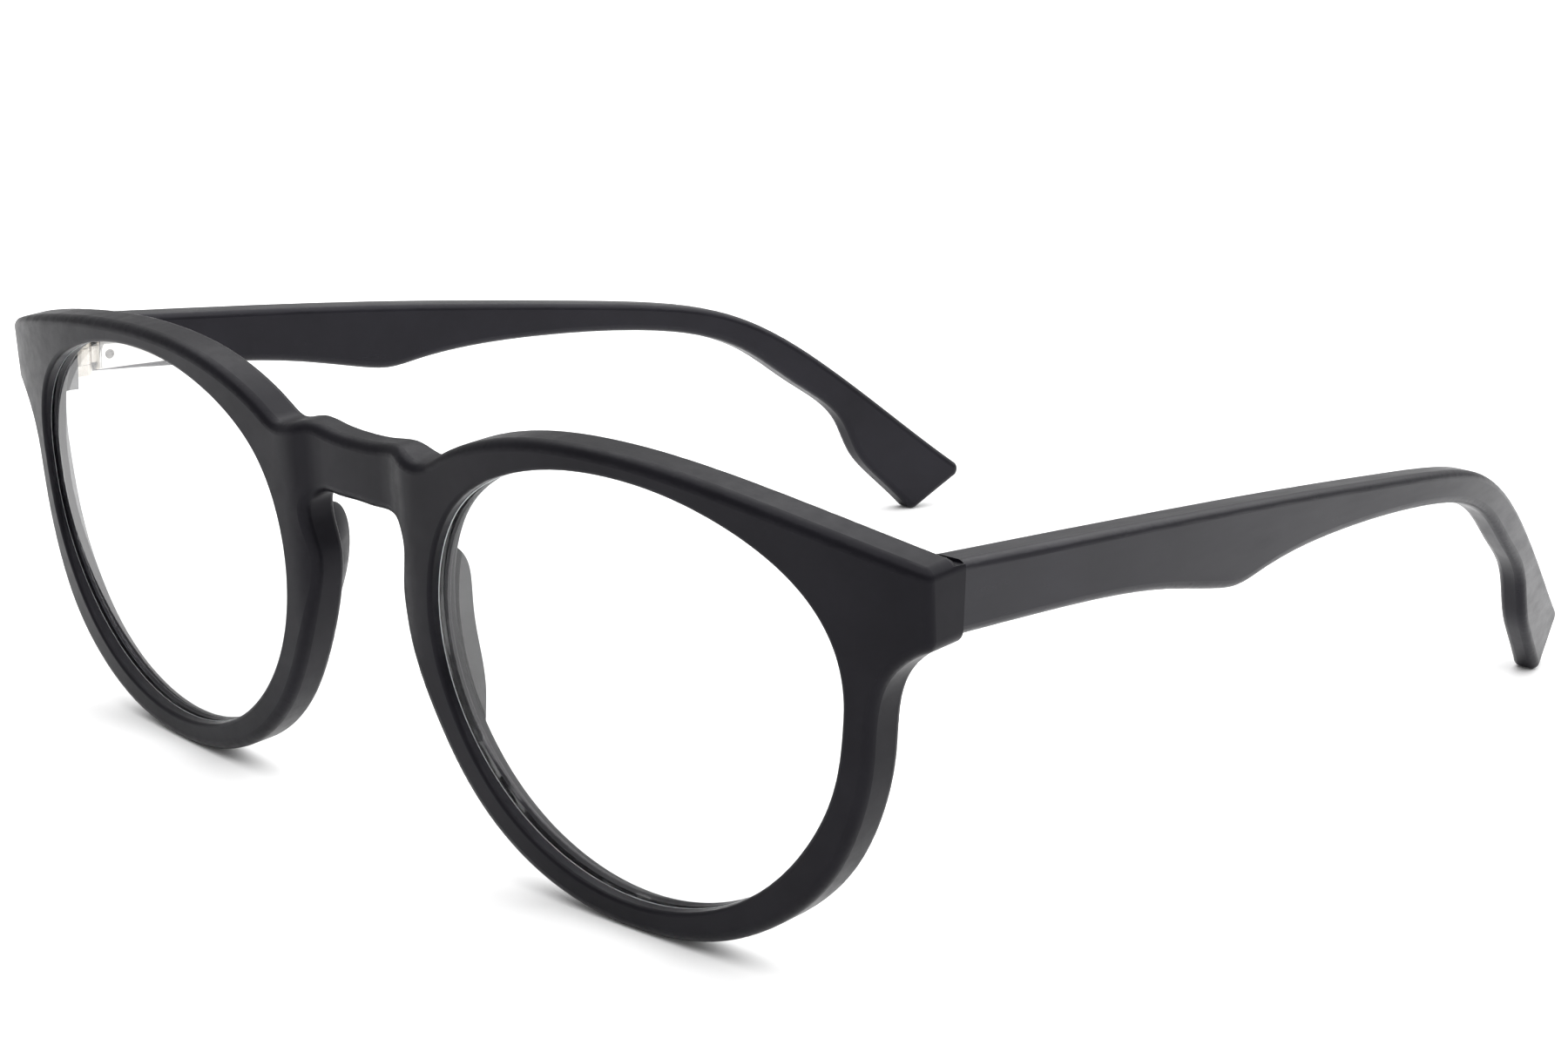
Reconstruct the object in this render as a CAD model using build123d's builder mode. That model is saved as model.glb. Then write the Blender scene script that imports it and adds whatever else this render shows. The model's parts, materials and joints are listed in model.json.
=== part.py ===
from build123d import *
import os
from math import asin, cos, degrees, pi, radians, sin

# Full-rim acetate eyeglasses with a keyhole bridge and sprung temple hinges, in millimetres.
# +X is the wearer's left, +Y runs from the front to the temple tips, +Z is up.
# The glasses stand on a table as they are put down: on the bottoms of both rims and on both
# temple tips. The origin is on the table, in the middle of the glasses' box.

# ---- Driving dimensions: front ------------------------------------------------------------
front_y = -72.71  # front face of the bridge, carried down to the table
rim_drop = -0.22  # the lean lifts the rims' lowest edge by this
front_lean = 5.4  # degrees that the top of the front leans forward
front_thick = 4.4
front_half_width = 70.8
wrap_radius = 476.0  # face form curve of the front
wrap_half = 58.0  # past this half width the end pieces bend away faster
end_bend = 0.0118  # extra bend of the end pieces, per millimetre squared
front_edge_round = 1.1
back_edge_round = 0.7
opening_round = 0.4
end_top = 42.15  # end piece, height above the rims' lowest point
end_foot = 34.9
end_round = 1.3
block_foot = -3.2  # end block, from the hinge's middle height
block_top = 3.9
bridge_top = 42.3
bridge_foot = 35.5
bridge_recess = 0.9  # how far the bridge is cut back behind the rims' faces
recess_half = (5.9, 9.4)  # the recess runs out between these half widths

# ---- Driving dimensions: lens -------------------------------------------------------------
lens_radius = 180.0
lens_thick = 1.6
lens_set_back = 1.0  # front of the lens edge behind the rim's front face
lens_rise = 0.95  # the middle of a lens stands this far in front of its edge
groove_depth = 0.6
lens_play = 0.05
lens_centre = (37.2, 24.3)

# ---- Driving dimensions: nose pad ---------------------------------------------------------
pad_thick = 1.8
pad_root = 3.0  # width of the pad where it grows out of the rim

# ---- Driving dimensions: temple -----------------------------------------------------------
temple_yaw = 3.4  # degrees that the temples run inwards
temple_thick = 3.9
tip_thick = 3.3
temple_edge_round = 0.9
core_radius = 0.6

# ---- Driving dimensions: hinge, measured from its pin along the temple --------------------
hinge_x = 64.9
hinge_back = 8.7  # pin behind front_y
hinge_height = 38.5
butt = -1.1  # joint face between end piece and temple
butt_gap = 0.05
leaf_face = -1.8
leaf_thick = 0.8
knuckle_radius = 1.65
slider_half_height = 0.95
leaf_half_height = 2.6
leaf_knuckle_height = 1.3
knuckle_gap = 0.05
screw_radius = 0.65
slider_bore = 0.72
inner_face = 1.9  # temple's inner face, outboard of the pin
housing_mouth = 1.95
housing_end = 12.0
housing_half_height = 1.8
cavity_half = (0.8, 1.0)
cavity_end = 11.3
flex_travel = 1.2
stop_pin_y = 3.3
stop_pin_radius = 0.5
tongue_end = 6.2
bush_y = (6.4, 7.1)
nut_y = (10.0, 10.7)
rod_radius = 0.35
spring_wire = 0.12
spring_radius = 0.6
spring_turns = 5

# ---- Planes -------------------------------------------------------------------------------
front_plane = Plane(Location((0, front_y, rim_drop), (90 + front_lean, 0, 0)))
# plan section of the front: x across, y towards the back, normal up along the front
section_plane = Plane(Location((0, front_y, rim_drop), (front_lean, 0, 0)))
backwards = section_plane.y_dir
up_front = section_plane.z_dir
hinge_plane = Plane(Location((hinge_x, front_y + hinge_back, hinge_height), (0, 0, temple_yaw)))


def hinge_level(height):
    """Horizontal plane through the left hinge: x outwards, y along the temple."""
    return hinge_plane.offset(height)


# ---- Front --------------------------------------------------------------------------------
def face_form(half_width):
    """How far the front's face has curved back at a distance from the bridge's middle."""
    past = max(0.0, abs(half_width) - wrap_half)
    return half_width**2 / (2 * wrap_radius) + end_bend * past**2


def bridge_dip(half_width):
    """Smooth recess of the bridge's face."""
    share = (abs(half_width) - recess_half[0]) / (recess_half[1] - recess_half[0])
    return bridge_recess * 0.5 * (1 + cos(pi * min(1.0, max(0.0, share))))


def mirrored(half):
    """Points from the far end, over the middle, to the near end."""
    return [(-u, v) for u, v in reversed(half)] + half[1:]


def front_slab():
    """Plan section of the curved plate that the front is cut from."""
    near_half = [0, 3, 5.9, 7.1, 8.2, 9.4, 12, 18, 28, 40, wrap_half, 67, 76]
    back_half = [0, 20, 40, wrap_half, 67, 76]
    with BuildSketch(section_plane) as section:
        with BuildLine():
            near = Spline(*mirrored([(u, face_form(u) + bridge_dip(u)) for u in near_half]))
            back = Spline(*mirrored([(u, face_form(u) + front_thick) for u in back_half]))
            Line(near @ 0, back @ 0)
            Line(near @ 1, back @ 1)
        make_face()
    return section.sketch


def front_outline():
    """Outer edge of the whole front, drawn for one half and mirrored."""
    top_half = [
        (0, bridge_top), (4.0, 42.5), (7.6, 42.75), (9.8, 42.2), (11.4, 42.1), (13.6, 43.1),
        (17.3, 44.9), (24.6, 46.95), (34.0, 47.75), (44.0, 47.35), (56.0, 45.75), (66.6, 43.4),
        (front_half_width, end_top),
    ]
    foot_half = [
        (0, bridge_foot + 0.15), (3.0, bridge_foot + 0.1), (5.6, bridge_foot), (7.4, 34.4),
        (7.6, 31.6), (6.85, 28.2), (7.2, 25.2), (9.9, 17.6), (14.6, 9.75), (21.5, 3.9),
        (30.0, 0.65), (38.0, 0), (46.4, 1.35), (54.5, 5.4), (60.3, 11.0), (63.4, 17.0),
        (65.0, 23.5), (65.5, 28.2), (66.5, 31.4), (68.5, 33.7), (front_half_width, end_foot),
    ]
    with BuildSketch(front_plane.offset(5)) as outline:
        with BuildLine():
            over = Spline(*mirrored(top_half))
            under = Spline(*mirrored(foot_half))
            Line(over @ 0, under @ 0)
            Line(over @ 1, under @ 1)
        make_face()
        corners = outline.vertices().group_by(Axis.X)
        fillet(corners[0] + corners[-1], end_round)
    return outline.sketch


def lens_shape(grow):
    """Inner edge of the left rim, grown away from the lens's middle by the depth of a groove."""
    edge = [
        (62.5, 27.7), (58.4, 38.9), (49.5, 43.6), (38.0, 45.4), (25.0, 43.7), (15.3, 37.7),
        (11.85, 28.3), (13.9, 17.4), (21.5, 7.9), (36.8, 2.85), (53.8, 9.3), (60.3, 18.0),
    ]
    middle = Vector(*lens_centre)
    grown = [p + (p - middle).normalized() * grow for p in map(Vector, edge)]
    with BuildSketch(front_plane.offset(5)) as opening:
        with BuildLine():
            Spline(*grown, periodic=True)
        make_face()
    return opening.sketch


def lens_disc(grow, play):
    """Curved disc for the left rim: the lens itself, or with play the groove that holds it."""
    turn = asin(lens_centre[0] / wrap_radius)
    apex_back = face_form(lens_centre[0]) + lens_set_back - lens_rise
    middle = front_plane.from_local_coords(
        (
            lens_centre[0] - lens_radius * sin(turn),
            lens_centre[1],
            -(apex_back + lens_radius * cos(turn)),
        )
    )
    with BuildPart() as disc:
        extrude(lens_shape(grow), amount=30, dir=backwards)
        with Locations(middle):
            Sphere(lens_radius + play, mode=Mode.INTERSECT)
            Sphere(lens_radius - lens_thick - play, mode=Mode.SUBTRACT)
    return disc.part


def end_block():
    """Left end piece behind the plate: it carries the hinge and meets the temple."""
    with BuildPart() as block:
        with BuildSketch(hinge_level(block_foot)):
            with BuildLine():
                Polyline(
                    (-3.6, -5.2), (-3.6, leaf_face), (1.8, leaf_face), (1.8, butt), (8, butt),
                    (8, -3.9), (-3.6, -5.2),
                )
            make_face()
        extrude(amount=block_top - block_foot)
        extrude(front_outline(), amount=30, dir=backwards, mode=Mode.INTERSECT)
    return block.part


def end_clearance():
    """Space behind the left end piece, taken by the hinge and the temple."""
    with BuildPart() as space:
        with BuildSketch(hinge_level(-6)):
            with BuildLine():
                Polyline(
                    (-3.6, leaf_face), (1.8, leaf_face), (1.8, butt), (9, butt), (9, 6), (-3.6, 6),
                    (-3.6, leaf_face),
                )
            make_face()
        extrude(amount=14)
    return space.part


def leaf_plate():
    """Flat of the left hinge leaf with its anchor, let into the end piece."""
    with BuildPart() as plate:
        with BuildSketch(hinge_level(-leaf_half_height)):
            with Locations((knuckle_radius - 2.4, leaf_face - leaf_thick / 2)):
                Rectangle(4.8, leaf_thick)
        extrude(amount=2 * leaf_half_height)
        with BuildSketch(hinge_level(-0.9)):
            with BuildLine():
                Polyline(
                    (-1.8, leaf_face - 0.2), (-1.8, -3.2), (-1.4, -3.4), (-1.8, -3.8), (-1.4, -4.0),
                    (-1.4, -4.6), (-0.2, -4.6), (-0.2, -4.0), (0.2, -3.8), (-0.2, -3.4),
                    (0.2, -3.2), (0.2, leaf_face - 0.2), (-1.8, leaf_face - 0.2),
                )
            make_face()
        extrude(amount=1.8)
    return plate.part


def both_sides(part):
    """A left piece and its mirror image."""
    return [part, mirror(part, about=Plane.YZ)]


with BuildPart() as front_frame:
    extrude(front_outline(), amount=30, dir=backwards)
    extrude(front_slab(), amount=60, dir=up_front, mode=Mode.INTERSECT)
    fillet(front_frame.faces().sort_by(Axis.Y)[0].edges(), front_edge_round)
    backs = front_frame.faces().filter_by(lambda f: f.normal_at().Y > 0.8)
    fillet(backs.sort_by(SortBy.AREA)[-1].edges(), back_edge_round)
    for opening in both_sides(lens_shape(0)):
        extrude(opening, amount=30, dir=backwards, mode=Mode.SUBTRACT)
    inner_walls = front_frame.faces().filter_by(lambda f: f.area > 600 and abs(f.normal_at().X) > 0.9)
    fillet(inner_walls.edges().filter_by(lambda e: e.length > 60), opening_round)
    for block, space, plate in zip(
        both_sides(end_block()), both_sides(end_clearance()), both_sides(leaf_plate())
    ):
        add(block)
        add(space, mode=Mode.SUBTRACT)
        add(plate, mode=Mode.SUBTRACT)
    for groove in both_sides(lens_disc(groove_depth, lens_play)):
        add(groove, mode=Mode.SUBTRACT)
front_frame.part.label = "front_frame"


# ---- Lenses and nose pads -----------------------------------------------------------------
with BuildPart() as lens_left:
    add(lens_disc(groove_depth - lens_play, 0))


def pad_section(height, nose_front, nose_back, back):
    """Plan section of the left nose pad at a height up the front."""
    outer = nose_back + pad_thick
    with BuildSketch(section_plane.offset(height)) as section:
        with BuildLine():
            Polyline(
                (nose_front, 1.9), (nose_back, back), (outer, back - 0.3), (nose_front + pad_root, 3.4),
                (nose_front + pad_root, 1.9), (nose_front, 1.9),
            )
        make_face()
    return section.sketch


with BuildPart() as nose_pad_left:
    loft([
        pad_section(33.2, 7.1, 8.2, 4.6),
        pad_section(31.4, 7.2, 9.3, 6.6),
        pad_section(27.5, 6.6, 9.6, 7.1),
        pad_section(22.5, 7.7, 10.8, 6.5),
        pad_section(17.0, 9.85, 12.6, 5.4),
        pad_section(12.0, 12.8, 14.4, 4.7),
    ])
    add(front_frame.part, mode=Mode.SUBTRACT)
    for sliver in nose_pad_left.solids().sort_by(SortBy.VOLUME)[:-1]:
        add(sliver, mode=Mode.SUBTRACT)


# ---- Temple -------------------------------------------------------------------------------
def temple_profile():
    """Side view of the temple, y along it and z up, with both edges' own curves."""
    with BuildSketch(Plane.YZ) as profile:
        with BuildLine():
            top = Spline(*[(front_y + y, z) for y, z in (
                (4.0, 42.95), (23.1, 41.6), (53.2, 39.3), (86.3, 36.0), (99.3, 34.4),
                (108.3, 32.55), (117.4, 28.8), (126.2, 23.3), (139.9, 13.0), (150.2, 5.3),
            )])
            foot = Spline(*[(front_y + y, z) for y, z in (
                (4.0, 36.15), (23.3, 35.05), (40.8, 33.2), (49.8, 31.4), (53.9, 30.9),
                (58.0, 31.4), (64.0, 32.1), (77.3, 32.35), (95.0, 31.2), (104.0, 29.7),
                (113.0, 26.4), (121.6, 20.7), (129.4, 14.4), (132.0, 9.4), (135.4, 5.6),
                (141.6, -0.3),
            )])
            Line(top @ 0, foot @ 0)
            Line(top @ 1, foot @ 1)
        make_face()
        tips = profile.vertices().sort_by(Axis.X)[-2:]
        fillet(tips, 1.2)
    return profile.sketch


def temple_plan():
    """Top view of the temple, curving in towards the ear."""
    middle = [
        (4.0, 69.05), (24.0, 67.86), (44.0, 66.67), (79.0, 63.7), (109.5, 60.0), (130.0, 55.3),
        (150.0, 49.5), (154.0, 48.3),
    ]

    def half_thick(y):
        return 0.5 * (temple_thick + (tip_thick - temple_thick) * y / 154.0)

    with BuildSketch(Plane.XY.offset(-2)) as plan:
        with BuildLine():
            outer = Spline(*[(x + half_thick(y), front_y + y) for y, x in middle])
            inner = Spline(*[(x - half_thick(y), front_y + y) for y, x in middle])
            Line(outer @ 0, inner @ 0)
            Line(outer @ 1, inner @ 1)
        make_face()
    return plan.sketch


def along_hinge(y):
    """Upright plane across the left temple: its normal runs back along the hinge."""
    return Plane(hinge_plane.from_local_coords((0, y, 0)), hinge_plane.x_dir, hinge_plane.y_dir)


def disc_on_pin(radius, low, high):
    """Cylinder about the hinge pin between two heights."""
    with BuildPart() as disc:
        with BuildSketch(hinge_level(low)):
            Circle(radius)
        extrude(amount=high - low)
    return disc.part


def bar(half_wide, half_high, start, end):
    """Rectangular bar along the temple, centred on the slider's axis."""
    with BuildPart() as piece:
        with BuildSketch(along_hinge(start)):
            Rectangle(2 * half_wide, 2 * half_high)
        extrude(amount=end - start)
    return piece.part


def rod(radius, start, end):
    """Round bar along the temple on the slider's axis."""
    with BuildPart() as piece:
        with BuildSketch(along_hinge(start)):
            Circle(radius)
        extrude(amount=end - start)
    return piece.part


def cross_pin(radius, inboard, outboard, y, stretch=0.0):
    """Pin across the temple; with stretch, the slot that it slides in."""
    across = Plane(hinge_plane.from_local_coords((inboard, y, 0)), hinge_plane.y_dir, hinge_plane.x_dir)
    with BuildPart() as piece:
        with BuildSketch(across):
            Circle(radius)
            if stretch:
                with Locations((stretch, 0)):
                    Circle(radius)
                with Locations((stretch / 2, 0)):
                    Rectangle(stretch, 2 * radius)
        extrude(amount=outboard - inboard)
    return piece.part


# ---- Hinge --------------------------------------------------------------------------------
knuckle_low = slider_half_height + knuckle_gap
knuckle_top = knuckle_low + leaf_knuckle_height

with BuildPart() as hinge_leaf_left:
    add(leaf_plate())
    for low in (-knuckle_top, knuckle_low):
        with BuildSketch(hinge_level(low)):
            Circle(knuckle_radius)
            with Locations((0, leaf_face / 2 - 0.2)):
                Rectangle(2 * knuckle_radius, -leaf_face + 0.4)
        extrude(amount=leaf_knuckle_height)
    add(disc_on_pin(slider_bore, knuckle_low - 0.1, knuckle_top + 0.1), mode=Mode.SUBTRACT)
    add(disc_on_pin(screw_radius, -knuckle_top - 0.1, -knuckle_low + 0.1), mode=Mode.SUBTRACT)

with BuildPart() as hinge_screw_left:
    add(disc_on_pin(screw_radius, -knuckle_top, knuckle_top))
    add(disc_on_pin(1.25, knuckle_top, knuckle_top + 0.7))
    fillet(hinge_screw_left.edges().sort_by(Axis.Z)[-1], 0.3)
    with BuildSketch(hinge_level(knuckle_top + 0.35)):
        Rectangle(3, 0.35)
    extrude(amount=1, mode=Mode.SUBTRACT)

with BuildPart() as hinge_slider_left:
    add(disc_on_pin(knuckle_radius, -slider_half_height, slider_half_height))
    add(bar(cavity_half[0] - 0.05, slider_half_height, 0, tongue_end))
    add(disc_on_pin(slider_bore, -2, 2), mode=Mode.SUBTRACT)
    add(
        cross_pin(stop_pin_radius + 0.05, -2, 2, stop_pin_y, flex_travel),
        mode=Mode.SUBTRACT,
    )
    add(rod(rod_radius, tongue_end - 0.9, tongue_end + 1), mode=Mode.SUBTRACT)

with BuildPart() as guide_rod_left:
    add(rod(rod_radius, tongue_end - 0.9, nut_y[1] + 0.3))

with BuildPart() as spring_bush_left:
    add(bar(*cavity_half, *bush_y))
    add(rod(rod_radius + 0.06, bush_y[0] - 1, bush_y[1] + 1), mode=Mode.SUBTRACT)

with BuildPart() as rod_nut_left:
    with BuildSketch(along_hinge(nut_y[0])):
        RegularPolygon(cavity_half[0] - 0.05, 6)
    extrude(amount=nut_y[1] - nut_y[0])
    add(rod(rod_radius, nut_y[0] - 1, nut_y[1] + 1), mode=Mode.SUBTRACT)

with BuildPart() as spring_left:
    spring_length = nut_y[0] - bush_y[1] - 2 * spring_wire - 0.04
    start = hinge_plane.from_local_coords((0, bush_y[1] + spring_wire + 0.02, 0))
    with BuildLine() as coil:
        Helix(spring_length / spring_turns, spring_length, spring_radius, start, hinge_plane.y_dir)
    with BuildSketch(coil.line ^ 0):
        Circle(spring_wire)
    sweep()

with BuildPart() as stop_pin_left:
    add(cross_pin(stop_pin_radius, -1.5, inner_face - 0.1, stop_pin_y))

with BuildPart() as hinge_housing_left:
    with BuildSketch(along_hinge(housing_mouth)):
        with Locations(((inner_face - 1.55) / 2, 0)):
            Rectangle(inner_face + 1.55, 2 * housing_half_height)
    extrude(amount=housing_end - housing_mouth)
    inboard = hinge_housing_left.faces().sort_by(Axis.X)[0]
    fillet(inboard.edges().filter_by(lambda e: abs(e.tangent_at(0.5).Z) < 0.5), 0.7)
    with BuildSketch(hinge_level(-1.2)):
        with BuildLine():
            Polyline(
                (inner_face - 0.2, 4.4), (inner_face + 1.0, 4.4), (inner_face + 0.7, 5.4),
                (inner_face + 1.1, 6.2), (inner_face + 0.7, 7.2), (inner_face + 1.1, 8.0),
                (inner_face + 0.7, 9.0), (inner_face + 1.0, 10.2), (inner_face - 0.2, 10.2),
                (inner_face - 0.2, 4.4),
            )
        make_face()
    extrude(amount=2.4)
    add(bar(*cavity_half, housing_mouth - 1, cavity_end), mode=Mode.SUBTRACT)
    add(stop_pin_left.part, mode=Mode.SUBTRACT)


# ---- Temple and its core wire -------------------------------------------------------------
with BuildPart() as core_wire_left:
    with BuildLine() as route:
        FilletPolyline(
            (68.1, front_y + 26.5, 38.2), (65.6, front_y + 60, 35.3), (60.2, front_y + 107.5, 31.2),
            (53.4, front_y + 137.5, 12.4),
            radius=[60, 25],
        )
    with BuildSketch(Plane(route.line @ 0, z_dir=route.line % 0)):
        Circle(core_radius)
    sweep()

with BuildPart() as temple_left:
    extrude(temple_profile(), amount=90, dir=(1, 0, 0))
    extrude(temple_plan(), amount=60, dir=(0, 0, 1), mode=Mode.INTERSECT)
    long_edges = temple_left.edges().filter_by(lambda e: e.length > 100)
    fillet(long_edges, temple_edge_round)
    with BuildSketch(hinge_level(-8)):
        with Locations((0, butt + butt_gap - 10)):
            Rectangle(20, 20)
    extrude(amount=16, mode=Mode.SUBTRACT)
    add(hinge_housing_left.part, mode=Mode.SUBTRACT)
    add(core_wire_left.part, mode=Mode.SUBTRACT)


# ---- Write the pieces, left and right -----------------------------------------------------
left_pieces = {
    "lens": lens_left,
    "nose_pad": nose_pad_left,
    "temple": temple_left,
    "core_wire": core_wire_left,
    "hinge_leaf": hinge_leaf_left,
    "hinge_screw": hinge_screw_left,
    "hinge_slider": hinge_slider_left,
    "hinge_housing": hinge_housing_left,
    "stop_pin": stop_pin_left,
    "guide_rod": guide_rod_left,
    "spring_bush": spring_bush_left,
    "flex_spring": spring_left,
    "rod_nut": rod_nut_left,
}

os.makedirs("parts", exist_ok=True)
export_step(front_frame.part, "parts/front_frame.step")
for name, piece in left_pieces.items():
    for side, part in zip(("left", "right"), both_sides(piece.part)):
        part.label = f"{name}_{side}"
        export_step(part, f"parts/{name}_{side}.step")
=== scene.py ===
import json
from math import atan2, radians

import bmesh
import bpy
from bpy.props import FloatProperty, FloatVectorProperty, PointerProperty
from mathutils import Matrix, Vector


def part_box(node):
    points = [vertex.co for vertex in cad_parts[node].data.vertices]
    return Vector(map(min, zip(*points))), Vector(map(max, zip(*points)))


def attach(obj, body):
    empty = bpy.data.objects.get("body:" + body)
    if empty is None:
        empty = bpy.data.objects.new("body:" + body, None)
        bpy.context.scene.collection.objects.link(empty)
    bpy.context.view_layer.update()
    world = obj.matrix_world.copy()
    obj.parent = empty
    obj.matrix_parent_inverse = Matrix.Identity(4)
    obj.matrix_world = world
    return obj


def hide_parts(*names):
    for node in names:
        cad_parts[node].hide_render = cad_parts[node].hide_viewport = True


# Full-rim acetate eyeglasses: finishes, hinge details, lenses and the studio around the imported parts.
# Everything is in metres in the row frame: +X the wearer's left, +Y towards the temple tips, +Z up.
# Noise sizes, bump depths and hinge sizes are in millimetres, and MM turns them into metres.

bl_info = {
    "name": "Acetate Eyeglasses",
    "version": (1, 0, 0),
    "blender": (4, 5, 0),
    "location": "View3D > Sidebar > Eyeglasses",
    "description": "Finishes, lenses and hinge details for full-rim acetate eyeglasses",
    "category": "Object",
}

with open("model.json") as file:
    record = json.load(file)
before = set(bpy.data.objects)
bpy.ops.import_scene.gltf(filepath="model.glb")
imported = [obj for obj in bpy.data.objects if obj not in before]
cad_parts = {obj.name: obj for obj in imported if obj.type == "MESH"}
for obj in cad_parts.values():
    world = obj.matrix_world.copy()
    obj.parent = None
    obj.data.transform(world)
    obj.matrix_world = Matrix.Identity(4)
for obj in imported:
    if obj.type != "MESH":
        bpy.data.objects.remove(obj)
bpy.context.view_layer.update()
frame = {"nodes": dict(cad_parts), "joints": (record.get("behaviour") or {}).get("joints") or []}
nodes = frame["nodes"]

MM = 0.001
SIDES = {"left": 1, "right": -1}
joints = {joint["name"]: joint for joint in frame["joints"]}
# hinge pin of the left temple, and the yaw of the hinge's own axes
hinge_pin = Vector(joints["temple_fold_left"]["pos_m"])
slide = Vector(joints["temple_flex_left"]["axis"])
hinge_yaw = atan2(-slide.x, slide.y)

# hinge housing, in hinge millimetres (x outwards, y along the temple, z up)
HOUSING_SIZE = (3.45, 10.05, 3.6)
HOUSING_MIDDLE = (0.175, 6.975, 0)
# insets of the mouth and of the cavity's end, along the diagonals of their corners
MOUTH_INSET = 0.65
CAVITY_TAPER = 0.05
CAVITY_DEPTH = 9.35
# the edges beyond this y are the back ones
HOUSING_BACK = 11.9
BACK_ROUNDING = 0.3
# stop pin: its place on the housing's inner face, and the (radius, height) outline of its head
PIN_PLACE = (-1.55, 3.3, 0)
PIN_OUTLINE = ((0, 0.03), (0.3, 0.03), (0.38, 0.1), (0.52, 0.1), (0.58, 0), (0.58, -0.1), (0, -0.1))
PIN_STEPS = 40

# nose pad edges that turn by more degrees than this are rounded
PAD_RIDGE = 12
# the edge round the lens's front: degrees it turns by, and the least its flat side faces forwards
LENS_CORNER = 40
FACES_FORWARD = 0.8
# lens bevel line, a light grey tube that is partly the frosted edge of the lens and partly a painted
# highlight along its front: how far it stands inside the edge of the lens, as a factor of the lens's
# size
BEVEL_HIGHLIGHT_INSIDE = (0.979, 1, 0.976)

FRONT_SPECULAR = 0.14
TEMPLE_SPECULAR = 0.22

# camera: its place, the way it looks and the way up, with the sensor's width in millimetres
CAMERA_PLACE = (0.22236, -0.24781, 0.10913)
CAMERA_FORWARD = (-0.66369, 0.70185, -0.25868)
CAMERA_UP = (-0.19818, 0.16847, 0.96558)
SENSOR_WIDTH = 36
# overhead light: its tilt about X and Y and the angle it fills, in degrees
LIGHT_TILT = (-14, 6)
LIGHT_ANGLE = 110
FLOOR_HALF = 4


# ---- Small helpers ------------------------------------------------------------------------
def hinge_place(side):
    """Matrix from hinge millimetres (x outwards, y along the temple) to the row frame."""
    place = Matrix.Translation(hinge_pin) @ Matrix.Rotation(hinge_yaw, 4, "Z")
    return Matrix.Diagonal((SIDES[side], 1, 1, 1)) @ place @ Matrix.Scale(MM, 4)


def round_edges(bm, edges, width, segments=3):
    """Rounds or chamfers edges by a width in the mesh's own unit."""
    bmesh.ops.bevel(
        bm, geom=list(edges), offset=width, offset_type="OFFSET", segments=segments, profile=0.5,
        affect="EDGES", material=-1, clamp_overlap=True,
    )


def finish_piece(bm, name, materials, body, smooth_angle=35):
    """Turns a bmesh into a shaded object that rides on a body."""
    bmesh.ops.recalc_face_normals(bm, faces=bm.faces)
    mesh = bpy.data.meshes.new(name)
    bm.to_mesh(mesh)
    bm.free()
    for material in materials:
        mesh.materials.append(material)
    piece = bpy.data.objects.new(name, mesh)
    bpy.context.scene.collection.objects.link(piece)
    mesh.shade_smooth()
    mesh.set_sharp_from_angle(angle=radians(smooth_angle))
    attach(piece, body)
    return piece


def merged_copy(node):
    """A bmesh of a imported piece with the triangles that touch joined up."""
    bm = bmesh.new()
    bm.from_mesh(nodes[node].data)
    bmesh.ops.remove_doubles(bm, verts=bm.verts, dist=2e-6)
    return bm


def paint(node, material):
    """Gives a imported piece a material."""
    for slot in nodes[node].material_slots:
        slot.material = material


# ---- Materials ----------------------------------------------------------------------------
def new_material(name):
    """A node material: its tree, its main shader and its Object coordinates."""
    material = bpy.data.materials.new(name)
    material.use_nodes = True
    tree = material.node_tree
    shader = tree.nodes["Principled BSDF"]
    coords = tree.nodes.new("ShaderNodeTexCoord")
    return material, tree, shader, coords


def noise(tree, coords, size_mm, stretch=(1, 1, 1), detail=3.0, roughness=0.55):
    """Noise with features of about size_mm, stretched along an axis where a factor is small."""
    mapping = tree.nodes.new("ShaderNodeMapping")
    mapping.inputs["Scale"].default_value = [s / (size_mm * MM) for s in stretch]
    texture = tree.nodes.new("ShaderNodeTexNoise")
    texture.inputs["Scale"].default_value = 1.0
    texture.inputs["Detail"].default_value = detail
    texture.inputs["Roughness"].default_value = roughness
    tree.links.new(coords.outputs["Object"], mapping.inputs["Vector"])
    tree.links.new(mapping.outputs["Vector"], texture.inputs["Vector"])
    return texture.outputs["Fac"]


def between(tree, value, low, high):
    """Maps a noise value onto a range."""
    ramp = tree.nodes.new("ShaderNodeMapRange")
    ramp.inputs["From Min"].default_value = 0.3
    ramp.inputs["From Max"].default_value = 0.7
    ramp.inputs["To Min"].default_value = low
    ramp.inputs["To Max"].default_value = high
    tree.links.new(value, ramp.inputs["Value"])
    return ramp.outputs["Result"]


def blend_colours(tree, value, first, second):
    """Mixes two colours by a value."""
    mix = tree.nodes.new("ShaderNodeMix")
    mix.data_type = "RGBA"
    mix.inputs["A"].default_value = (*first, 1)
    mix.inputs["B"].default_value = (*second, 1)
    tree.links.new(value, mix.inputs["Factor"])
    return mix.outputs["Result"]


def bumps(tree, shader, heights):
    """Chains bump nodes; each height is (value, strength, distance in millimetres)."""
    normal = None
    for value, strength, distance in heights:
        bump = tree.nodes.new("ShaderNodeBump")
        bump.inputs["Strength"].default_value = strength
        bump.inputs["Distance"].default_value = distance * MM
        tree.links.new(value, bump.inputs["Height"])
        if normal:
            tree.links.new(normal, bump.inputs["Normal"])
        normal = bump.outputs["Normal"]
    tree.links.new(normal, shader.inputs["Normal"])


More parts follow.
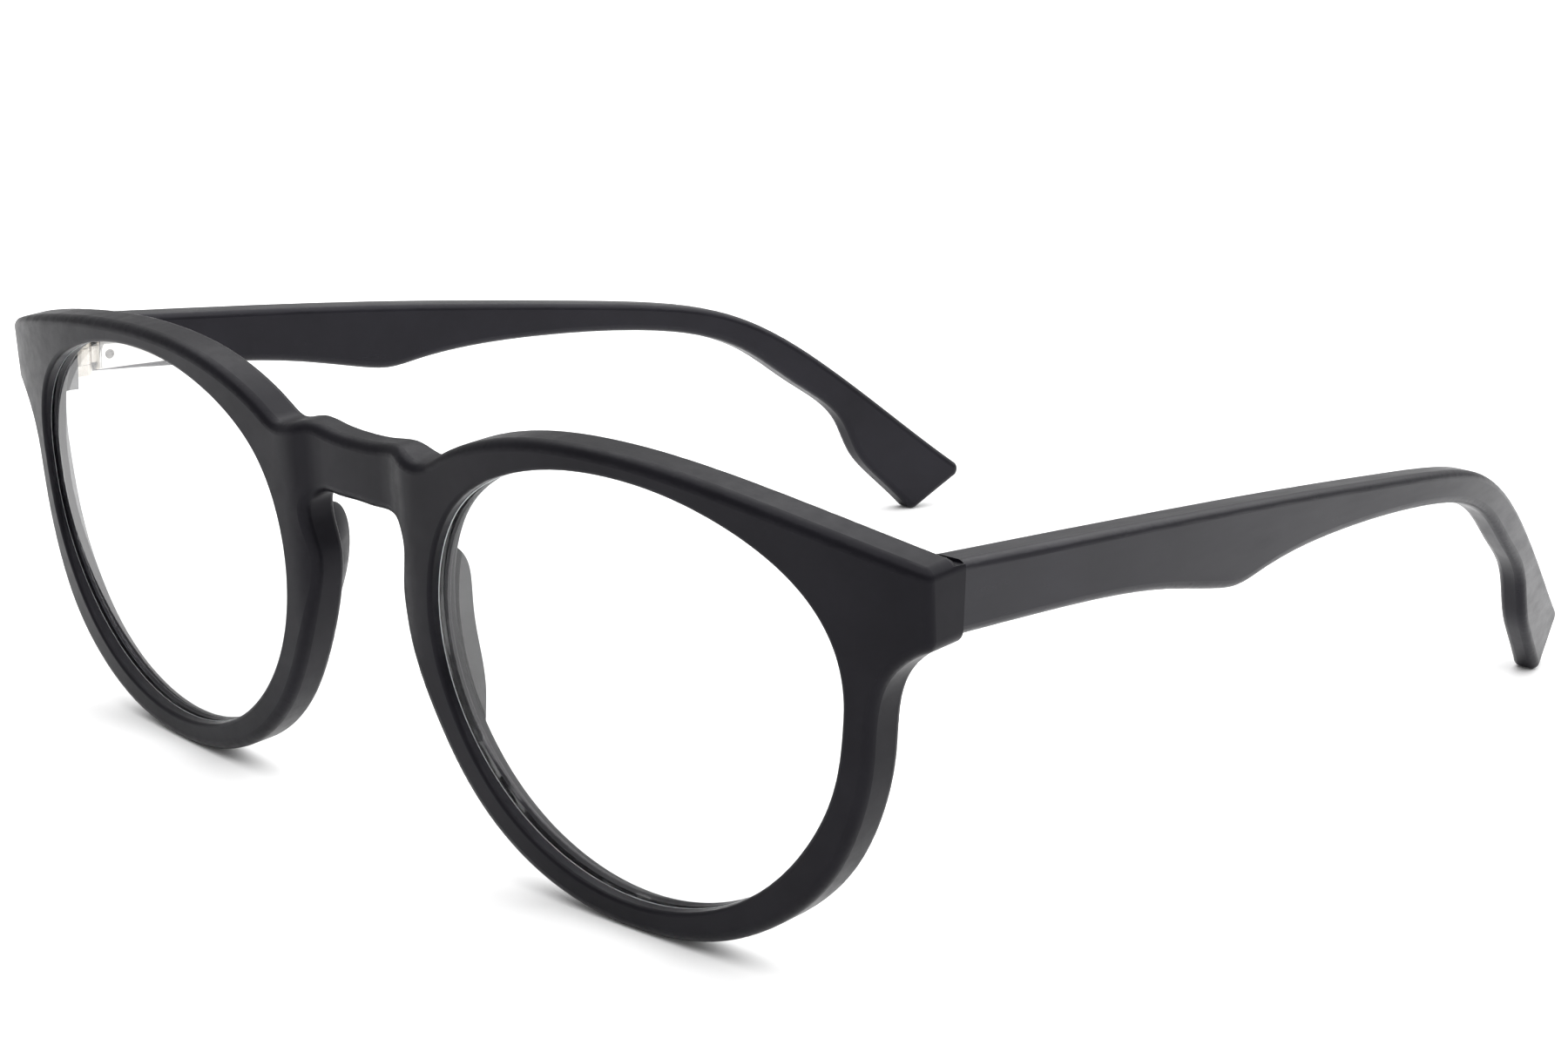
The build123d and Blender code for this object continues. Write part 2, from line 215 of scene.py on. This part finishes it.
def acetate(name, colour, gloss, specular, grain=(1, 1, 1)):
    """Tumble-polished black acetate: faint cloud in the colour, wave and fine hazing on top."""
    material, tree, shader, coords = new_material(name)
    link = tree.links.new
    cloud = noise(tree, coords, size_mm=9.0, detail=4.0)
    light = [min(1.0, c * 1.7 + 0.0015) for c in colour]
    link(blend_colours(tree, between(tree, cloud, 0, 1), colour, light), shader.inputs["Base Color"])
    haze = noise(tree, coords, size_mm=1.6, stretch=grain, detail=5.0, roughness=0.65)
    link(between(tree, haze, gloss, gloss * 1.35), shader.inputs["Roughness"])
    shader.inputs["Specular IOR Level"].default_value = specular
    shader.inputs["IOR"].default_value = 1.48
    shader.inputs["Specular Tint"].default_value = (0.93, 0.91, 1, 1)
    wave = noise(tree, coords, size_mm=6.0, detail=1.0)
    scuff = noise(tree, coords, size_mm=0.25, stretch=grain, detail=2.0)
    bumps(tree, shader, [(wave, 0.2, 0.04), (scuff, 0.06, 0.003)])
    return material


def metal(name, colour, gloss, grain, depth):
    """Steel or brass with a drawn or brushed grain, depth millimetres deep."""
    material, tree, shader, coords = new_material(name)
    link = tree.links.new
    shader.inputs["Metallic"].default_value = 1.0
    stain = noise(tree, coords, size_mm=2.2, detail=3.0)
    dark = [c * 0.8 for c in colour]
    link(blend_colours(tree, between(tree, stain, 0, 1), dark, colour), shader.inputs["Base Color"])
    lines = noise(tree, coords, size_mm=0.5, stretch=grain, detail=4.0, roughness=0.7)
    link(between(tree, lines, gloss, gloss * 1.6), shader.inputs["Roughness"])
    bumps(tree, shader, [(lines, 0.3, depth)])
    return material


def clear_lens(name, tint):
    """Clear lens with the faintest wave of a cast surface."""
    material, tree, shader, coords = new_material(name)
    shader.inputs["Base Color"].default_value = (*tint, 1)
    shader.inputs["Transmission Weight"].default_value = 1.0
    shader.inputs["IOR"].default_value = 1.5
    wipe = noise(tree, coords, size_mm=14.0, detail=2.0)
    tree.links.new(between(tree, wipe, 0.0, 0.012), shader.inputs["Roughness"])
    return material


def ground_edge_and_highlight(name, colour):
    """Ground and part polished bevel round a lens, light grey so that it also paints the highlight that
    the lens's front edge catches.
    """
    material, tree, shader, coords = new_material(name)
    shader.inputs["Base Color"].default_value = (*colour, 1)
    shader.inputs["Transmission Weight"].default_value = 0.35
    shader.inputs["IOR"].default_value = 1.5
    grit = noise(tree, coords, size_mm=0.12, detail=2.0)
    tree.links.new(between(tree, grit, 0.3, 0.5), shader.inputs["Roughness"])
    bumps(tree, shader, [(grit, 0.3, 0.01)])
    return material


# ---- Settings -----------------------------------------------------------------------------
def colour_setting(name, description, default):
    """A colour that can be set in the panel."""
    return FloatVectorProperty(
        name=name, description=description, subtype="COLOR", size=3, min=0, max=1, default=default
    )


class AcetateSettings(bpy.types.PropertyGroup):
    front_colour: colour_setting("Front colour", "Acetate of the front", (0.0024, 0.0022, 0.0034))
    temple_colour: colour_setting("Temple colour", "Acetate of the temples", (0.0028, 0.0026, 0.0042))
    front_gloss: FloatProperty(
        name="Front roughness", description="Micro roughness of the front", default=0.3, min=0,
        max=1, subtype="FACTOR",
    )
    temple_gloss: FloatProperty(
        name="Temple roughness", description="Micro roughness of the temples", default=0.27, min=0,
        max=1, subtype="FACTOR",
    )
    pad_edge: FloatProperty(
        name="Pad edge", description="Rounding of the nose pads' edges", default=0.00035,
        unit="LENGTH", subtype="DISTANCE",
    )


class LensSettings(bpy.types.PropertyGroup):
    tint: colour_setting("Tint", "Colour of the lens", (0.985, 0.99, 0.992))
    # light grey of the lens bevel line: partly the frosted edge's own colour, partly a painted
    # highlight
    edge_highlight_colour: colour_setting("Edge", "Colour of the ground edge", (0.75, 0.77, 0.79))
    edge_width: FloatProperty(
        name="Edge bevel", description="Half width of the bevel ground round the lens", default=0.00007,
        unit="LENGTH", subtype="DISTANCE",
    )


class HingeSettings(bpy.types.PropertyGroup):
    steel: colour_setting("Steel", "Leaves, screws and sliders", (0.60, 0.56, 0.50))
    polished: colour_setting("Polished", "Hinge housings", (0.78, 0.76, 0.73))
    pin: colour_setting("Pin", "Stop pins and their rings", (0.2, 0.19, 0.18))
    brass: colour_setting("Brass", "Bushes and nuts", (0.62, 0.46, 0.22))
    corner: FloatProperty(
        name="Corner", description="Rounding of the housing's corners, in hinge millimetres",
        default=0.6, min=0.1, max=1.2,
    )


class StageSettings(bpy.types.PropertyGroup):
    floor_colour: colour_setting("Floor", "Colour of the floor", (0.93, 0.93, 0.93))
    surround: FloatProperty(
        name="Surround", description="Brightness of the studio around", default=0.55, min=0
    )
    key_light: FloatProperty(
        name="Key light", description="Strength of the soft light overhead", default=4.2, min=0
    )
    lens: FloatProperty(
        name="Focal length", description="Camera lens, in millimetres", default=66.33, min=10,
        subtype="DISTANCE_CAMERA", unit="CAMERA",
    )


# ---- Operators ----------------------------------------------------------------------------
class EYEGLASSES_OT_acetate(bpy.types.Operator):
    """Finish the acetate front, temples and nose pads"""

    bl_idname = "eyeglasses.acetate"
    bl_label = "Acetate"

    def execute(self, context):
        look = context.scene.eyeglasses_acetate
        limit = radians(PAD_RIDGE)
        front = acetate("black_acetate_front", look.front_colour, look.front_gloss, FRONT_SPECULAR)
        temple = acetate(
            "black_acetate_temple", look.temple_colour, look.temple_gloss, TEMPLE_SPECULAR,
            grain=(1, 0.12, 1),
        )
        paint("front_frame", front)
        for side in SIDES:
            paint(f"temple_{side}", temple)
            pad = merged_copy(f"nose_pad_{side}")
            ridges = [e for e in pad.edges if e.is_manifold and e.calc_face_angle() > limit]
            round_edges(pad, ridges, look.pad_edge)
            name = f"nose_pad_worn_{side}"
            piece = finish_piece(pad, name, [front], "front", smooth_angle=50)
            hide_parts(f"nose_pad_{side}")
        return {"FINISHED"}


class EYEGLASSES_OT_lenses(bpy.types.Operator):
    """Make the clear lenses with their ground edges, whose light grey line also paints a highlight"""

    bl_idname = "eyeglasses.lenses"
    bl_label = "Lenses"

    def execute(self, context):
        look = context.scene.eyeglasses_lens
        glass = clear_lens("clear_lens", look.tint)
        # edge material: light grey that paints the highlight along the lens's front edge as well as its
        # frosted bevel
        edge = ground_edge_and_highlight("lens_edge_and_highlight", look.edge_highlight_colour)
        for side in SIDES:
            paint(f"lens_{side}", glass)
            self.bevel_highlight_line(side, edge, look.edge_width)
        return {"FINISHED"}

    def bevel_highlight_line(self, side, finish, width):
        """Fine ground bevel that shows where the front of the lens enters the rim; its light grey line
        is partly the frosted edge and partly a painted highlight.
        """
        node = f"lens_{side}"
        low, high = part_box(node)
        middle = (low + high) / 2
        loop = merged_copy(node)
        limit = radians(LENS_CORNER)
        sharp = [e for e in loop.edges if e.is_manifold and e.calc_face_angle() > limit]
        front = {e for e in sharp if min(f.normal.y for f in e.link_faces) < -FACES_FORWARD}
        if not front:
            raise RuntimeError(f"{node} has no edge round its front")
        corners = {v for e in front for v in e.verts}
        bmesh.ops.delete(loop, geom=[e for e in loop.edges if e not in front], context="EDGES")
        bmesh.ops.delete(loop, geom=[v for v in loop.verts if v not in corners], context="VERTS")
        bmesh.ops.translate(loop, verts=loop.verts, vec=-middle)
        bmesh.ops.scale(loop, verts=loop.verts, vec=BEVEL_HIGHLIGHT_INSIDE)
        bmesh.ops.translate(loop, verts=loop.verts, vec=middle)
        mesh = bpy.data.meshes.new("lens_bevel_highlight_path")
        loop.to_mesh(mesh)
        loop.free()
        line = bpy.data.objects.new("lens_bevel_highlight_path", mesh)
        bpy.context.scene.collection.objects.link(line)
        bpy.ops.object.select_all(action="DESELECT")
        line.select_set(True)
        bpy.context.view_layer.objects.active = line
        bpy.ops.object.convert(target="CURVE")
        line = bpy.context.view_layer.objects.active
        line.data.bevel_depth = width
        line.data.bevel_resolution = 2
        tube = bmesh.new()
        tube.from_mesh(bpy.data.meshes.new_from_object(line))
        bpy.data.objects.remove(line)
        bmesh.ops.remove_doubles(tube, verts=tube.verts, dist=1e-7)
        # this tube carries the painted highlight line round the lens
        name = f"lens_bevel_highlight_{side}"
        finish_piece(tube, name, [finish], "front", smooth_angle=60)


class EYEGLASSES_OT_hinges(bpy.types.Operator):
    """Make the polished hinge housings and finish the small metal pieces"""

    bl_idname = "eyeglasses.hinges"
    bl_label = "Hinges"

    def execute(self, context):
        look = context.scene.eyeglasses_hinge
        steel = metal("hinge_steel", look.steel, gloss=0.22, grain=(1, 1, 0.1), depth=0.01)
        polished = metal("housing_steel", look.polished, gloss=0.1, grain=(1, 0.08, 1), depth=0.004)
        core = metal("core_steel", look.steel, gloss=0.3, grain=(1, 0.1, 1), depth=0.01)
        dark = metal("pin_steel", look.pin, gloss=0.3, grain=(1, 1, 1), depth=0.004)
        brass = metal("bush_brass", look.brass, gloss=0.25, grain=(1, 1, 1), depth=0.01)
        finishes = {
            steel: ("hinge_leaf", "hinge_screw", "hinge_slider", "guide_rod", "flex_spring"),
            core: ("core_wire",),
            brass: ("spring_bush", "rod_nut"),
            dark: ("stop_pin",),
        }
        for side in SIDES:
            for finish, pieces in finishes.items():
                for piece in pieces:
                    paint(f"{piece}_{side}", finish)
            self.housing(side, polished, look.corner)
            self.pin_ring(side, dark)
        return {"FINISHED"}

    def housing(self, side, polished, corner):
        """Rounded box on the temple's inner face, open where the slider goes in."""
        case = bmesh.new()
        place = Matrix.Translation(HOUSING_MIDDLE) @ Matrix.Diagonal((*HOUSING_SIZE, 1))
        bmesh.ops.create_cube(case, size=1, matrix=place)
        inboard = [e for e in case.edges if all(v.co.x < 0 for v in e.verts)]
        round_edges(case, inboard, corner, 5)
        mouth = min(case.faces, key=lambda f: f.calc_center_median().y)
        bmesh.ops.inset_region(case, faces=[mouth], thickness=MOUTH_INSET, depth=0)
        bmesh.ops.inset_region(case, faces=[mouth], thickness=CAVITY_TAPER, depth=-CAVITY_DEPTH)
        back = [e for e in case.edges if all(v.co.y > HOUSING_BACK for v in e.verts)]
        round_edges(case, back, BACK_ROUNDING)
        bmesh.ops.transform(case, matrix=hinge_place(side), verts=case.verts)
        name = f"hinge_case_{side}"
        piece = finish_piece(
            case, name, [polished], f"temple_{side}", smooth_angle=40
        )
        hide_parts(f"hinge_housing_{side}")

    def pin_ring(self, side, dark):
        """Turned head of the stop pin: a shallow dish with a raised ring."""
        ring = bmesh.new()
        loop = [ring.verts.new((0, radius, -height)) for radius, height in PIN_OUTLINE]
        edges = [ring.edges.new(pair) for pair in zip(loop, loop[1:])]
        bmesh.ops.spin(
            ring, geom=loop + edges, cent=(0, 0, 0), axis=(0, 0, 1), angle=radians(360),
            steps=PIN_STEPS, use_merge=True, use_duplicate=False,
        )
        bmesh.ops.remove_doubles(ring, verts=ring.verts, dist=1e-4)
        across = Matrix.Translation(PIN_PLACE) @ Matrix.Rotation(radians(90), 4, "Y")
        bmesh.ops.transform(ring, matrix=hinge_place(side) @ across, verts=ring.verts)
        finish_piece(ring, f"stop_pin_ring_{side}", [dark], f"temple_{side}")


class EYEGLASSES_OT_stage(bpy.types.Operator):
    """Set the floor, the studio lights and the camera"""

    bl_idname = "eyeglasses.stage"
    bl_label = "Stage"

    def execute(self, context):
        look = context.scene.eyeglasses_stage
        scene = context.scene
        sheet = bmesh.new()
        bmesh.ops.create_grid(sheet, x_segments=1, y_segments=1, size=FLOOR_HALF)
        mesh = bpy.data.meshes.new("studio_floor")
        sheet.to_mesh(mesh)
        sheet.free()
        paper, tree, shader, coords = new_material("studio_paper")
        shader.inputs["Base Color"].default_value = (*look.floor_colour, 1)
        shader.inputs["Specular IOR Level"].default_value = 0.2
        fibre = noise(tree, coords, size_mm=3.0)
        tree.links.new(between(tree, fibre, 0.7, 0.8), shader.inputs["Roughness"])
        mesh.materials.append(paper)
        floor = bpy.data.objects.new("studio_floor", mesh)
        scene.collection.objects.link(floor)

        world = bpy.data.worlds.new("studio_surround")
        world.use_nodes = True
        backdrop = world.node_tree.nodes["Background"]
        backdrop.inputs["Color"].default_value = (1, 1, 1, 1)
        backdrop.inputs["Strength"].default_value = look.surround
        scene.world = world

        sun = bpy.data.lights.new("overhead", "SUN")
        sun.energy = look.key_light
        sun.angle = radians(LIGHT_ANGLE)
        lamp = bpy.data.objects.new("overhead", sun)
        tilt_x, tilt_y = (radians(tilt) for tilt in LIGHT_TILT)
        lamp.matrix_world = Matrix.Rotation(tilt_x, 4, "X") @ Matrix.Rotation(tilt_y, 4, "Y")
        scene.collection.objects.link(lamp)
        scene.view_settings.view_transform = "Standard"

        camera = bpy.data.objects.new("camera", bpy.data.cameras.new("camera"))
        camera.data.lens = look.lens
        camera.data.sensor_width = SENSOR_WIDTH
        camera.data.clip_start = 0.01
        forward = Vector(CAMERA_FORWARD).normalized()
        right = forward.cross(Vector(CAMERA_UP)).normalized()
        up = right.cross(forward)
        axes = Matrix((right, up, -forward)).transposed().to_4x4()
        camera.matrix_world = Matrix.Translation(CAMERA_PLACE) @ axes
        scene.collection.objects.link(camera)
        scene.camera = camera
        return {"FINISHED"}


class EYEGLASSES_PT_panel(bpy.types.Panel):
    """Settings and steps of the eyeglasses"""

    bl_idname = "EYEGLASSES_PT_panel"
    bl_label = "Eyeglasses"
    bl_space_type = "VIEW_3D"
    bl_region_type = "UI"
    bl_category = "Eyeglasses"

    def draw(self, context):
        for step, settings in STEPS.items():
            box = self.layout.box()
            group = getattr(context.scene, settings)
            for prop in group.bl_rna.properties:
                if prop.identifier not in {"rna_type", "name"}:
                    box.prop(group, prop.identifier)
            box.operator(f"eyeglasses.{step}")


# each operator with its settings, in the order they run
STEPS = {
    "stage": "eyeglasses_stage",
    "acetate": "eyeglasses_acetate",
    "lenses": "eyeglasses_lens",
    "hinges": "eyeglasses_hinge",
}
SETTINGS = {
    "eyeglasses_acetate": AcetateSettings,
    "eyeglasses_lens": LensSettings,
    "eyeglasses_hinge": HingeSettings,
    "eyeglasses_stage": StageSettings,
}
CLASSES = (
    *SETTINGS.values(),
    EYEGLASSES_OT_acetate,
    EYEGLASSES_OT_lenses,
    EYEGLASSES_OT_hinges,
    EYEGLASSES_OT_stage,
    EYEGLASSES_PT_panel,
)


def register():
    for item in CLASSES:
        bpy.utils.register_class(item)
    for name, group in SETTINGS.items():
        setattr(bpy.types.Scene, name, PointerProperty(type=group))


def unregister():
    for name in SETTINGS:
        delattr(bpy.types.Scene, name)
    for item in reversed(CLASSES):
        bpy.utils.unregister_class(item)


def main():
    register()
    for step in STEPS:
        getattr(bpy.ops.eyeglasses, step)()
    bpy.context.view_layer.update()


if __name__ == "__main__":
    main()
